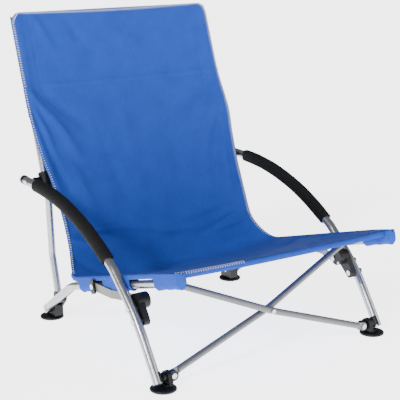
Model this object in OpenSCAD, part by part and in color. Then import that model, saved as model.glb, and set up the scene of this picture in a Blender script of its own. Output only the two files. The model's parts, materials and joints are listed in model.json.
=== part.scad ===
// Low folding camp chair with foam-covered arms.
// Four level foot hubs carry two side scissors, a front cross, a rear cross and two uprights.
// X is to the sitter's left and right, +Y is to the back, +Z is up. The floor is z = 0.
// Side-view points are written as [y, z], with y measured back from the front feet.

/* [Frame width] */
// Centre plane of each arm tube, from the middle
arm_x = 268; // [264:0.5:280]
// Centre plane of each seat rail, from the middle
rail_x = 249.5; // [247:0.5:250]
// Centre plane of each upright, from the middle
upright_x = 233.5; // [230:0.5:233.5]
// Distance of each front foot from the middle
front_foot_x = 255; // [250:1:258]
// Distance of each rear foot from the middle
rear_foot_x = 235; // [230:1:240]

/* [Tubes] */
// Outer diameter of the leg and arm tube
arm_d = 18; // [16:0.5:18]
// Outer diameter of the seat rail
rail_d = 16; // [14:0.5:16]
// Outer diameter of the upright
upright_d = 15; // [13:0.5:15]
// Outer diameter of the front cross tubes
front_cross_d = 13; // [10:0.5:13]
// Outer diameter of the rear cross tubes
rear_cross_d = 12; // [10:0.5:12]
// Wall thickness of every tube
tube_wall = 1.2; // [0.8:0.1:1.5]
// Outer diameter of the foam arm grip
grip_d = 26.5; // [24:0.5:28]

/* [Fabric] */
// Thickness of the sling cloth and its sleeves
cloth_t = 1.1; // [0.8:0.1:1.2]
// Height of the seat cloth above the middle of the rails
seat_rise = 19; // [14:1:22]
// Gap between a sleeve and the tube inside it
sleeve_gap = 0.3; // [0.3:0.1:0.5]

/* [Feet] */
// Diameter of each round foot
foot_d = 50; // [44:1:54]
// Height of the rubber pad's rim
pad_rim = 3.5; // [3:0.5:5]
// Radius of the pivot rivets
rivet_r = 3; // [2.5:0.1:3]
// Running gap around a rivet, on the radius
rivet_gap = 0.05; // [0.02:0.01:0.08]

/* [Hidden] */
$fn = 40;

// The frame's middle, so that the origin is under the middle of the whole chair
depth_mid = 271.85;

// Pivots of the side scissor, the same height at both feet, with the crossing halfway
front_pivot = [4, 22];
rear_pivot = [462, 22];
cross_pivot = [233, 134.7];
upright_pivot = [432, 50];

// Bends of the leg and arm tube, from the foot to the end of the arm
arm_path = [[-2.7, 14], [67.7, 118.9], [149.1, 193.1], [238.3, 247.1], [370.8, 290.9], [498, 296.2]];
arm_bends = [0, 380, 60, 519, 535, 0];
// The grip covers the arm from just above the second bend to the level end
grip_start_back = 21;
grip_end_back = 79.4;
grip_gap = 0.3;
// The grip's inner side is flat, so that the folding rail passes it
grip_flat_x = 257.8;
arm_pin_y = 480;

// Bends of the seat rail: heel, knee and front end
rail_knee = [346, 103];
rail_front = [-50, 214];
rail_bend = 100;

// Bends of the upright: foot, two bends and the top
upright_path = [[434.5, 58], [457, 140], [466, 262], [592, 619]];
upright_bends = [0, 80, 100, 0];
slider_z = 297;

// Front cross: foot pivot, crossing and top end, with tube b one pitch behind tube a
front_lug_x = 230;
front_lug_z = 20;
front_a_y = -1;
front_cross_z = 97;
front_cross_lean = 11;
front_top = [230, 40, 192];
front_pitch = 14;

// Rear cross
rear_lug_x = 211;
rear_lug_z = 30;
rear_a_y = 461.5;
rear_cross_z = 158;
rear_top_x = 209;
rear_pitch = 13;
rear_lug_y = [464, 472];
slider_lug_y = [464, 470];
front_lug_y = [1.5, 9.8];

tab_t = 4;
tab_r = 8.5;
tab_l = 16;
rivet_head = 1.6;

bend_lap = 1;
bend_swell = 0.12;

black = "#1b1b1d";
steel = "#b4b6b8";
cloth_blue = "#2f62b3";
rivet_grey = "#c9cbcd";
foam_black = "#262628";

// ---------- helpers ----------

function unit(v) = v / norm(v);
function across(u) = unit(cross(u, abs(u[0]) < 0.9 ? [1, 0, 0] : [0, 1, 0]));
function at(x, p) = [x, p[0] - depth_mid, p[1]];
function cosine(v) = min(1, max(-1, v));
// Direction into corner i and the angle that a path turns there
function heading(p, i) = unit(p[i + 1] - p[i]);
function turn(p, i) = i <= 0 || i >= len(p) - 1 ? 0 : acos(cosine(heading(p, i - 1) * heading(p, i)));
function setback(p, r, i) = r[i] * tan(turn(p, i) / 2);
function arc(c, r, a0, a1, n) = [for (i = [0:n]) c + r * [cos(a0 + (a1 - a0) * i / n), sin(a0 + (a1 - a0) * i / n)]];

module frame(o, x, y, z) {
    multmatrix([[x[0], y[0], z[0], o[0]], [x[1], y[1], z[1], o[1]], [x[2], y[2], z[2], o[2]], [0, 0, 0, 1]])
        children();
}

// Draws its children along the line from p to q, with +Z pointing at q
module along(p, q) {
    z = unit(q - p);
    x = across(z);
    frame(p, x, cross(z, x), z) children();
}

// Draws its children in the side plane at x: their X is the chair's Y, their Y is the chair's Z
module side_plane(x) {
    frame([x, -depth_mid, 0], [0, 1, 0], [0, 0, 1], [1, 0, 0]) children();
}

// Draws a right-hand piece on the right (s = 1) or mirrored on the left (s = -1)
module on_side(s) {
    if (s > 0) children();
    else mirror([1, 0, 0]) children();
}

module tube_section(d, wall) {
    difference() {
        circle(d = d);
        circle(d = d - 2 * wall);
    }
}

// A tube along points p, turning at each corner on the radius in r.
// Each bend is a hair thicker than the straights, which run a little way into it.
module bent_tube(p, r, d, wall) {
    for (i = [0:len(p) - 2]) {
        a = p[i] + heading(p, i) * (setback(p, r, i) - (i > 0 ? bend_lap : 0));
        b = p[i + 1] - heading(p, i) * (setback(p, r, i + 1) - (i < len(p) - 2 ? bend_lap : 0));
        along(a, b) linear_extrude(norm(b - a)) tube_section(d, wall);
    }
    if (len(p) > 2)
        for (i = [1:len(p) - 2]) {
            u = heading(p, i - 1);
            v = heading(p, i);
            c = p[i] + unit(v - u) * r[i] / cos(turn(p, i) / 2);
            start = p[i] - u * setback(p, r, i);
            x = unit(start - c);
            frame(c, x, u, cross(x, u))
                rotate_extrude(angle = turn(p, i)) translate([r[i], 0])
                    tube_section(d + 2 * bend_swell, wall + 2 * bend_swell);
        }
}

// Rod of radius r across the chair, from x0 to x1 at side-view point p
module cross_rod(p, x0, x1, r) {
    side_plane(x0) translate(p) cylinder(r = r, h = x1 - x0);
}

// Rivet across the chair: a shank with a low head at each end
module cross_rivet(p, x0, x1, r) {
    cross_rod(p, x0, x1, r);
    cross_rod(p, x0 - rivet_head, x0, r * 1.8);
    cross_rod(p, x1, x1 + rivet_head, r * 1.8);
}

// Rivet that runs front to back at x, z
module deep_rivet(x, z, y0, y1, r) {
    deep_rod(x, z, y0, y1, r);
    deep_rod(x, z, y0 - rivet_head, y0, r * 1.8);
    deep_rod(x, z, y1, y1 + rivet_head, r * 1.8);
}

// Rod of radius r that runs front to back at x, z
module deep_rod(x, z, y0, y1, r) {
    translate([x, y0 - depth_mid, z]) rotate([-90, 0, 0]) cylinder(r = r, h = y1 - y0);
}

// Rivet end in the flat tab of a cross tube centred at y: a shank with a head in front (-1) or behind (1)
module tab_rivet(x, y, z, front) {
    deep_rod(x, z, y - tab_t / 2, y + tab_t / 2, rivet_r);
    if (front < 0) deep_rod(x, z, y - tab_t / 2 - rivet_head, y - tab_t / 2, rivet_r * 1.8);
    else deep_rod(x, z, y + tab_t / 2, y + tab_t / 2 + rivet_head, rivet_r * 1.8);
}

// Straight-sided outline with round ends of radius ra about a and rb about b
module strap(a, b, ra, rb) {
    base = atan2(b[1] - a[1], b[0] - a[0]);
    lean = acos((ra - rb) / norm(b - a));
    polygon(concat(arc(a, ra, base + lean, base + 360 - lean, 20), arc(b, rb, base - lean, base + lean, 14)));
}

// Flat end of a cross tube at pivot p, pointing along the tube to q, with its rivet hole
module cross_tab(p, q, hole_r) {
    z = unit([q[0] - p[0], 0, q[2] - p[2]]);
    difference() {
        frame(p - [0, tab_t / 2, 0], cross([0, 1, 0], z), z, [0, 1, 0])
            linear_extrude(tab_t) polygon(concat([[tab_r * 0.7, tab_l + 4]], [[-tab_r * 0.7, tab_l + 4]],
                arc([0, 0], tab_r, 180, 360, 16)));
        translate(p - [0, tab_t, 0]) rotate([-90, 0, 0]) cylinder(r = hole_r, h = 2 * tab_t);
    }
}

// A cross tube through points p, with a flat tab at both ends and a hole at the crossing
module cross_tube(p, d, hole_r, foot_hole_r = rivet_r + rivet_gap) {
    a = p[0] + unit(p[1] - p[0]) * tab_l;
    b = p[2] + unit(p[1] - p[2]) * tab_l;
    difference() {
        bent_tube(turn(p, 1) < 0.5 ? [a, b] : [a, p[1], b], [0, 400, 0], d, tube_wall);
        translate([p[1][0], p[1][1] - d, p[1][2]]) rotate([-90, 0, 0]) cylinder(r = hole_r, h = 2 * d);
    }
    cross_tab(p[0], p[1], foot_hole_r);
    cross_tab(p[2], p[1], rivet_r);
}

// Rubber pad: a flat disc with a domed top
module foot_pad(x, y) {
    translate([x, y - depth_mid, 0]) rotate_extrude() polygon(concat([[0, 0], [foot_d / 2 - 1, 0], [foot_d / 2, 1]],
        [[foot_d / 2, pad_rim]], [for (a = [15:15:75]) [foot_d / 2 * cos(a), pad_rim + 5 * sin(a)]], [[0, pad_rim + 5]]));
}

// ---------- feet and hubs ----------

hub_base_z = pad_rim + 5;

module front_foot_pad(s) {
    color(black) on_side(s) foot_pad(front_foot_x, 0);
}

module rear_foot_pad(s) {
    color(black) on_side(s) foot_pad(rear_foot_x, 464);
}

front_web = [240.5, 249];
front_pin_x = [242, 262.5];

module front_hub(s) {
    color(black) on_side(s) difference() {
        union() {
            side_plane(front_web[0]) linear_extrude(front_web[1] - front_web[0])
                polygon(concat([[-13, hub_base_z], [18, hub_base_z]], arc(front_pivot, 12, -15, 165, 16)));
            cross_rod(front_pivot, front_web[1], 256.5, 9);
            translate([front_foot_x - 14.5, -11 - depth_mid, hub_base_z]) cube([15.9, 22, 2.5]);
            frame([front_lug_x, front_lug_y[0] - depth_mid, front_lug_z], [1, 0, 0], [0, 0, 1], [0, 1, 0])
                linear_extrude(front_lug_y[1] - front_lug_y[0])
                    polygon(concat(arc([0, 0], 10, 90, 270, 16), [[10.6, -10], [10.6, 10]]));
        }
        cross_rod(front_pivot, front_pin_x[0], 260, rivet_r);
        deep_rod(front_lug_x, front_lug_z, -5, 20, rivet_r);
    }
}

module front_hub_rivets(s) {
    tab_y = s > 0 ? front_a_y : front_a_y + front_pitch;
    y0 = s > 0 ? tab_y - tab_t / 2 - 0.3 : front_lug_y[0];
    y1 = s > 0 ? front_lug_y[1] : tab_y + tab_t / 2 + 0.3;
    color(rivet_grey) on_side(s) {
        cross_rod(front_pivot, front_pin_x[0], front_pin_x[1], rivet_r);
        deep_rivet(front_lug_x, front_lug_z, y0, y1, rivet_r);
    }
}

rear_web = [226, 240.5];
ear_web = [220.5, 225.3];

module rear_hub(s) {
    color(black) on_side(s) difference() {
        union() {
            side_plane(ear_web[0]) linear_extrude(rear_web[1] - ear_web[0])
                polygon(concat([[440, hub_base_z], [480, hub_base_z], [480, 24]], arc(rear_pivot, 12, 20, 120, 10),
                    [[440, 32]]));
            side_plane(ear_web[0]) linear_extrude(ear_web[1] - ear_web[0])
                strap(rear_pivot, upright_pivot, 12, 9.5);
            cross_rod(rear_pivot, rear_web[1], 247.2, 9);
            frame([rear_lug_x, rear_lug_y[0] - depth_mid, rear_lug_z], [1, 0, 0], [0, 0, 1], [0, 1, 0])
                linear_extrude(rear_lug_y[1] - rear_lug_y[0])
                    polygon(concat(arc([0, 0], 9, 90, 270, 16), [[9.8, -9], [9.8, 9]]));
        }
        cross_rod(rear_pivot, 215, 250, rivet_r);
        cross_rod(upright_pivot, 215, 230, rivet_r);
        deep_rod(rear_lug_x, rear_lug_z, 455, 480, rivet_r);
    }
}

// The right-hand lug holds half a rivet: the other half is in the cross tube
module rear_hub_rivets(s) {
    color(rivet_grey) on_side(s) {
        cross_rod(rear_pivot, ear_web[0], 252.1, rivet_r);
        cross_rod(rear_pivot, 252.1, 252.1 + rivet_head, 1.8 * rivet_r);
        cross_rod(upright_pivot, ear_web[0], 240.9, rivet_r);
        cross_rod(upright_pivot, ear_web[0] - rivet_head, ear_web[0], 1.8 * rivet_r);
        if (s < 0)
            deep_rivet(rear_lug_x, rear_lug_z, rear_lug_y[0], rear_a_y + rear_pitch + tab_t / 2 + 0.3, rivet_r);
        else {
            deep_rod(rear_lug_x, rear_lug_z, rear_lug_y[0], rear_lug_y[1], rivet_r);
            deep_rod(rear_lug_x, rear_lug_z, rear_lug_y[1], rear_lug_y[1] + rivet_head, 1.8 * rivet_r);
        }
    }
}

// ---------- leg and arm ----------

arm_line = [for (p = arm_path) at(arm_x, p)];

module arm_tube(s) {
    color(steel) on_side(s) difference() {
        bent_tube(arm_line, arm_bends, arm_d, tube_wall);
        cross_rod(front_pivot, arm_x - 20, arm_x, rivet_r + rivet_gap);
        for (p = gusset_rivets) cross_rod(p, arm_x - 20, arm_x + 20, rivet_r);
        cross_rod(arm_pin, arm_x - 20, arm_x + 20, rivet_r);
    }
}

grip_line = [arm_line[2] + heading(arm_line, 2) * grip_start_back, arm_line[3], arm_line[4],
    arm_line[4] + heading(arm_line, 4) * grip_end_back];

module arm_grip(s) {
    color(foam_black) on_side(s) difference() {
        bent_tube(grip_line, [0, arm_bends[3], arm_bends[4], 0], grip_d, (grip_d - arm_d) / 2 - grip_gap);
        translate([grip_flat_x - 20, -200, 150]) cube([20, 500, 200]);
    }
}

arm_cap_l = 9.5;
arm_cap_lip = 0.6;

module arm_end_cap(s) {
    tip = arm_line[5];
    back = heading(arm_line, 4);
    color(black) on_side(s) {
        along(tip, tip + back) cylinder(r = arm_d / 2 + arm_cap_lip, h = arm_cap_l);
        along(tip + back * (arm_cap_l - 0.5), tip + back * arm_cap_l)
            cylinder(r1 = arm_d / 2 + arm_cap_lip, r2 = arm_d / 2 - 2, h = 3);
        along(tip - back * 12, tip) cylinder(r = arm_d / 2 - tube_wall, h = 13);
    }
}

// Half cuff on the inner side of the leg's foot, around the pivot pin
module leg_boot(s) {
    foot = arm_line[0];
    up = heading(arm_line, 0);
    color(black) on_side(s) difference() {
        along(foot + up * 2, foot + up * 3) cylinder(r = 10.7, h = 19);
        along(foot, foot + up) cylinder(r = arm_d / 2, h = 40);
        cross_rod(front_pivot, arm_x - 20, arm_x, rivet_r + rivet_gap);
        translate([arm_x - 3, -depth_mid - 40, 0]) cube([20, 80, 60]);
    }
}

gusset_web = [246, 258.8];
lobe_x = 232;
lobe = [90, 143];
lobe_r = 15.5;
tongue_foot = [64, 113];
gusset_rivets = [[65, 114], [83, 133]];
link_rivet = [99, 139];
link_t = 3;
link_out_x = arm_x - 7;
link_in_x = 242;
arm_pin = [arm_pin_y, 295.5];

// Moulded corner bracket: a round lobe at the top of a tongue down the leg, with a slot for the side link
module leg_gusset(s) {
    color(black) on_side(s) difference() {
        union() {
            side_plane(gusset_web[0]) linear_extrude(gusset_web[1] - gusset_web[0])
                strap(lobe, tongue_foot, lobe_r - 1.5, 9);
            cross_rod(lobe, lobe_x, gusset_web[1] - 1, lobe_r);
        }
        side_link_shape(0.01, rivet_r);
        cross_rod(link_rivet, lobe_x - 5, gusset_web[1] + 5, rivet_r);
        for (p = gusset_rivets) cross_rod(p, lobe_x - 5, gusset_web[1] + 5, rivet_r);
    }
}

// Flat link that steps inward from the rail to the gusset, grown by gap
module side_link_shape(gap, eye_r) {
    t = link_t / 2 + gap;
    y0 = cross_pivot[0] + 20;
    difference() {
        intersection() {
            translate([0, -depth_mid, 100]) linear_extrude(70) polygon([
                [link_out_x - t, y0], [link_out_x + t, y0], [link_out_x + t, 168], [link_in_x + t, 122],
                [link_in_x + t, 80], [link_in_x - t, 80], [link_in_x - t, 123], [link_out_x - t, 169]]);
            side_plane(230) linear_extrude(45) strap(cross_pivot, link_rivet, 8.5 + gap, 8 + gap);
        }
        cross_rod(cross_pivot, 250, 270, eye_r);
    }
}

module side_link(s) {
    color(steel) on_side(s) difference() {
        side_link_shape(0, rivet_r + rivet_gap);
        cross_rod(link_rivet, 235, 255, rivet_r);
    }
}

module leg_rivets(s) {
    color(rivet_grey) on_side(s) {
        cross_rod(link_rivet, lobe_x, gusset_web[1] - 1, rivet_r);
        cross_rod(link_rivet, lobe_x - rivet_head, lobe_x, 1.8 * rivet_r);
        cross_rivet(gusset_rivets[0], gusset_web[0], arm_x + arm_d / 2 + 0.2, rivet_r);
        cross_rod(gusset_rivets[1], lobe_x, arm_x + arm_d / 2 + 0.2, rivet_r);
        cross_rod(gusset_rivets[1], arm_x + arm_d / 2 + 0.2, arm_x + arm_d / 2 + 0.2 + rivet_head, 1.8 * rivet_r);
        cross_rod(arm_pin, arm_x - arm_d / 2, arm_x + arm_d / 2 + 0.2, rivet_r);
        cross_rod(arm_pin, arm_x + arm_d / 2 + 0.2, arm_x + arm_d / 2 + 2, 5);
    }
}

// ---------- seat rail ----------

rail_dir = unit(rail_front - rail_knee);
rail_up = [-rail_dir[1], rail_dir[0]] * -1;
rail_length = norm(rail_front - rail_knee);
heel_dir = unit(rail_knee - rear_pivot);

// Draws its children on the front run of the rail: X along it from the knee, Y up from it, Z across
module rail_plane(x) {
    frame(at(x, rail_knee), [0, rail_dir[0], rail_dir[1]], [0, rail_up[0], rail_up[1]], [-1, 0, 0]) children();
}

module rail_tube(s) {
    heel = at(rail_x, rear_pivot + heel_dir * 14);
    color(steel) on_side(s) difference() {
        union() {
            bent_tube([heel, at(rail_x, rail_knee), at(rail_x, rail_front)], [0, rail_bend, 0], rail_d, tube_wall);
            side_plane(rail_x - 2) linear_extrude(4) strap(rear_pivot, rear_pivot + heel_dir * 20, 9, 7);
        }
        cross_rod(rear_pivot, 240, 260, rivet_r + rivet_gap);
        cross_rod(cross_pivot, 230, 270, rivet_r);
    }
}

module rail_cap(s) {
    color(black) on_side(s) rail_plane(rail_x) {
        translate([rail_length - 12, 0, 0]) rotate([0, 90, 0]) cylinder(r = rail_d / 2 - tube_wall, h = 13);
        translate([rail_length, 0, 0]) rotate([0, 90, 0]) cylinder(r1 = rail_d / 2, r2 = rail_d / 2 - 1.5, h = 2.5);
    }
}

clip_at = norm(cross_pivot - rail_knee);
tongue_x = [link_out_x + 2, link_out_x + 5.5];

// Clip around the rail with a tongue outside the side link
module rail_clip(s) {
    color(black) on_side(s) difference() {
        intersection() {
            rail_plane(0) translate([clip_at, 0, 0]) union() {
                translate([-9, 0, -rail_x]) rotate([0, 90, 0]) cylinder(r = 9.6, h = 18);
                translate([-7, 9, -tongue_x[1]]) cube([14, 4, tongue_x[1] - rail_x + 4]);
                translate([-6, 6, -rail_x - 4]) cube([12, 5, 8]);
                translate([-7, -14, -tongue_x[1]]) cube([14, 27, tongue_x[1] - tongue_x[0]]);
            }
            translate([rail_x - rail_d / 2 + 0.2, -depth_mid, 0]) cube([60, 500, 300]);
        }
        rail_plane(rail_x) translate([clip_at - 20, 0, 0]) rotate([0, 90, 0]) cylinder(d = rail_d, h = 40);
        cross_rod(cross_pivot, 230, 280, rivet_r);
    }
}

module clip_rivet(s) {
    color(rivet_grey) on_side(s) {
        cross_rod(cross_pivot, rail_x - rail_d / 2, tongue_x[1], rivet_r);
        cross_rod(cross_pivot, tongue_x[1], tongue_x[1] + 1.6, 1.8 * rivet_r);
    }
}

// Moulded saddle on the rail's inner side, where the front cross ends
module cross_saddle(s) {
    tab_y = s > 0 ? front_top[1] + front_pitch : front_top[1];
    y1 = tab_y - tab_t / 2 - 0.5;
    color(black) on_side(s) difference() {
        frame([front_top[0], y1 - 5 - depth_mid, front_top[2]], [1, 0, 0], [0, 0, 1], [0, 1, 0])
            linear_extrude(5) polygon(concat(arc([0, 0], 8, 60, 300, 16), [[16, -9], [16, 4]]));
        bent_tube([at(rail_x, rail_knee), at(rail_x, rail_front)], [0, 0], rail_d, rail_d / 2 - 0.01);
    }
}

// ---------- uprights and sliders ----------

upright_line = [for (p = upright_path) at(upright_x, p)];
back_dir = unit(upright_path[3] - upright_path[2]);
back_front = [-back_dir[1], back_dir[0]];
back_length = norm(upright_path[3] - upright_path[2]);
slider_at = (slider_z - upright_path[2][1]) / back_dir[1];

// Draws its children on the straight back part of the upright: X up along it, Y to the front, Z across
module back_plane(x) {
    frame(at(x, upright_path[2]), [0, back_dir[0], back_dir[1]], [0, back_front[0], back_front[1]], [1, 0, 0])
        children();
}

module upright_tube(s) {
    color(steel) on_side(s) bent_tube(upright_line, upright_bends, upright_d, tube_wall);
}

module upright_plug(s) {
    foot_dir = unit(upright_path[1] - upright_path[0]);
    color(black) on_side(s) difference() {
        union() {
            side_plane(upright_x - 7.5) linear_extrude(15) strap(upright_pivot, upright_path[0], 9.5, 8.5);
            along(upright_line[0], upright_line[1]) cylinder(r = upright_d / 2 - tube_wall, h = 14);
        }
        cross_rod(upright_pivot, 220, 250, rivet_r + rivet_gap);
        along(upright_line[0], upright_line[1]) tube_cut(20);
    }
}

// The room that the upright's own wall takes
module tube_cut(h) {
    linear_extrude(h) tube_section(upright_d, tube_wall);
}

module upright_cap(s) {
    tip = upright_line[3];
    color(black) on_side(s) {
        along(tip, tip + heading(upright_line, 2)) cylinder(r1 = upright_d / 2, r2 = upright_d / 2 - 2, h = 2.5);
        along(tip - heading(upright_line, 2) * 12, tip) cylinder(r = upright_d / 2 - tube_wall, h = 13);
    }
}

module slider(s) {
    color(black) on_side(s) difference() {
        union() {
            back_plane(upright_x) translate([slider_at - 17, 0, 0]) rotate([0, 90, 0]) {
                cylinder(r = 11.8, h = 34);
                for (h = [2, 26]) translate([0, 0, h]) cylinder(r = 12.8, h = 6);
            }
            cross_rod([arm_pin_y - 0.5, arm_pin[1]], upright_x + 5, arm_x - arm_d / 2 - 0.6, 9);
            frame([rear_top_x, slider_lug_y[0] - depth_mid, rear_top_z], [1, 0, 0], [0, 0, 1], [0, 1, 0])
                linear_extrude(slider_lug_y[1] - slider_lug_y[0])
                    polygon(concat(arc([0, 0], 8.5, 90, 270, 16), [[18, -6], [18, 10]]));
        }
        back_plane(upright_x) translate([slider_at - 40, 0, 0]) rotate([0, 90, 0])
            cylinder(r = upright_d / 2 + 0.08, h = 80);
    }
}

// ---------- crosses ----------

rear_top_z = rear_cross_z + rear_top_x * (rear_cross_z - rear_lug_z) / rear_lug_x;

// Front cross tube whose foot is on side s, b lying behind a
module front_cross(s, behind) {
    y = front_a_y + behind - depth_mid;
    cross_tube([[s * front_lug_x, y, front_lug_z], [0, y + front_cross_lean, front_cross_z],
        [-s * front_top[0], front_top[1] + behind - depth_mid, front_top[2]]], front_cross_d,
        behind > 0 ? 2.5 : 2.5 + rivet_gap);
}

module front_cross_a() {
    color(steel) front_cross(1, 0);
}

module front_cross_b() {
    color(steel) front_cross(-1, front_pitch);
}

// The middle rivet, and the half rivet in the top tab of tube b
module front_cross_rivet() {
    y = front_a_y + front_cross_lean;
    color(rivet_grey) {
        deep_rivet(0, front_cross_z, y - front_cross_d / 2 - 0.4, y + front_pitch + front_cross_d / 2 + 1.2, 2.5);
        tab_rivet(front_top[0], front_top[1] + front_pitch, front_top[2], 1);
    }
}

module front_cross_a_rivet() {
    color(rivet_grey) tab_rivet(-front_top[0], front_top[1], front_top[2], 1);
}

// Rear cross tube whose foot is on side s: both top ends lie behind the sliders' lugs
module rear_cross(s, behind) {
    y = rear_a_y + behind - depth_mid;
    cross_tube([[s * rear_lug_x, y, rear_lug_z], [0, y, rear_cross_z],
        [-s * rear_top_x, rear_a_y + rear_pitch - depth_mid, rear_top_z]], rear_cross_d,
        behind > 0 ? 2.5 : 2.5 + rivet_gap, behind > 0 ? rivet_r + rivet_gap : rivet_r);
}

module rear_cross_a() {
    color(steel) rear_cross(1, 0);
}

module rear_cross_b() {
    color(steel) rear_cross(-1, rear_pitch);
}

// The middle rivet, and the half rivet in the top tab of tube b
module rear_cross_rivet() {
    color(rivet_grey) {
        deep_rivet(0, rear_cross_z, rear_a_y - rear_cross_d / 2 - 0.4,
            rear_a_y + rear_pitch + rear_cross_d / 2 + 0.4, 2.5);
        tab_rivet(rear_top_x, rear_a_y + rear_pitch, rear_top_z, 1);
    }
}

// The half rivets in both tabs of tube a
module rear_cross_a_rivets() {
    color(rivet_grey) {
        tab_rivet(-rear_top_x, rear_a_y + rear_pitch, rear_top_z, 1);
        tab_rivet(rear_lug_x, rear_a_y, rear_lug_z, -1);
    }
}

// ---------- cloth ----------

rail_sleeve_r = rail_d / 2 + sleeve_gap + cloth_t;
upright_sleeve_r = upright_d / 2 + sleeve_gap + cloth_t;
seat_rear = 12;
seat_front = rail_length + 5;
// Stretches of the rail that the seat's loops wrap, from the knee
seat_loop_spans = [[52, 98], [150, 252], [338, seat_front]];
seam_at = 236;
sleeve_foot_at = 168;

// U-shaped loop around one rail, under the seat cloth
module seat_loop(x, from, to) {
    rail_plane(x) translate([from, 0, 0]) rotate([0, 90, 0]) linear_extrude(to - from) difference() {
        union() {
            circle(r = rail_sleeve_r);
            translate([-rail_sleeve_r, 0]) square([2 * rail_sleeve_r, seat_rise - cloth_t - 0.6]);
        }
        circle(r = rail_sleeve_r - cloth_t);
        translate([cloth_t - rail_sleeve_r, 0]) square([2 * (rail_sleeve_r - cloth_t), seat_rise]);
    }
}

module seat_loops(s) {
    color(cloth_blue) for (span = seat_loop_spans) seat_loop(s * rail_x, span[0], span[1]);
}

module seat_cloth() {
    half = rail_x + rail_sleeve_r;
    color(cloth_blue) rail_plane(0) translate([seat_rear, seat_rise - cloth_t - 0.5, -half])
        cube([seat_front - seat_rear, cloth_t + 0.5, 2 * half]);
}

// Cloth across both uprights from one height to another, with a sleeve at each side
module back_sheet(from, to) {
    back_plane(0) translate([from, upright_sleeve_r - cloth_t, -upright_x])
        cube([to - from, cloth_t, 2 * upright_x]);
    for (x = [-upright_x, upright_x])
        back_plane(x) translate([from, 0, 0]) rotate([0, 90, 0]) linear_extrude(to - from)
            tube_section(2 * upright_sleeve_r, cloth_t);
}

module head_cloth() {
    color(cloth_blue) back_sheet(seam_at + 1, back_length + 2);
}

module upper_back_cloth() {
    color(cloth_blue) back_sheet(sleeve_foot_at, seam_at);
}

// The back below the sleeves hangs free of the uprights, down to the seat's rear edge
module lower_back_cloth() {
    fold = upright_path[2] + back_dir * sleeve_foot_at + back_front * (upright_sleeve_r - cloth_t / 2);
    foot = rail_knee + rail_dir * (seat_rear - 6) + rail_up * (seat_rise + 1);
    down = unit(foot - fold);
    color(cloth_blue) frame(at(0, fold), [0, down[0], down[1]], [0, -down[1], down[0]], [1, 0, 0])
        translate([1, -cloth_t / 2, -upright_x]) cube([norm(foot - fold) - 1, cloth_t, 2 * upright_x]);
}

// ---------- assembly ----------

front_foot_pad(-1);  // front_foot_pad_l
front_foot_pad(1);  // front_foot_pad_r
front_hub(-1);  // front_hub_l
front_hub(1);  // front_hub_r
front_hub_rivets(-1);  // front_hub_rivets_l
front_hub_rivets(1);  // front_hub_rivets_r
rear_foot_pad(-1);  // rear_foot_pad_l
rear_foot_pad(1);  // rear_foot_pad_r
rear_hub(-1);  // rear_hub_l
rear_hub(1);  // rear_hub_r
rear_hub_rivets(-1);  // rear_hub_rivets_l
rear_hub_rivets(1);  // rear_hub_rivets_r
arm_tube(-1);  // arm_tube_l
arm_tube(1);  // arm_tube_r
arm_grip(-1);  // arm_grip_l
arm_grip(1);  // arm_grip_r
arm_end_cap(-1);  // arm_end_cap_l
arm_end_cap(1);  // arm_end_cap_r
leg_boot(-1);  // leg_boot_l
leg_boot(1);  // leg_boot_r
leg_gusset(-1);  // leg_gusset_l
leg_gusset(1);  // leg_gusset_r
side_link(-1);  // side_link_l
side_link(1);  // side_link_r
leg_rivets(-1);  // leg_rivets_l
leg_rivets(1);  // leg_rivets_r
rail_tube(-1);  // rail_tube_l
rail_tube(1);  // rail_tube_r
rail_cap(-1);  // rail_cap_l
rail_cap(1);  // rail_cap_r
rail_clip(-1);  // rail_clip_l
rail_clip(1);  // rail_clip_r
clip_rivet(-1);  // clip_rivet_l
clip_rivet(1);  // clip_rivet_r
cross_saddle(-1);  // cross_saddle_l
cross_saddle(1);  // cross_saddle_r
upright_tube(-1);  // upright_tube_l
upright_tube(1);  // upright_tube_r
upright_plug(-1);  // upright_plug_l
upright_plug(1);  // upright_plug_r
upright_cap(-1);  // upright_cap_l
upright_cap(1);  // upright_cap_r
slider(-1);  // slider_l
slider(1);  // slider_r
front_cross_a();
front_cross_b();
front_cross_rivet();
front_cross_a_rivet();
rear_cross_a();
rear_cross_b();
rear_cross_rivet();
rear_cross_a_rivets();
seat_cloth();
seat_loops(-1);  // seat_loops_l
seat_loops(1);  // seat_loops_r
lower_back_cloth();
upper_back_cloth();
head_cloth();
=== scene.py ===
"""The looks of the low folding camp chair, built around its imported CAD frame.

Lengths are in metres. X is to the right, +Y to the back, +Z up. A side-view point is (y, z).
The sling is one surface, sling(u, s): u runs across from -1 to 1, s is the row, from the top
hem down the back and along the seat to the front hem. Each cloth piece is a stretch of it.
"""
import json
import math

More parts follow.
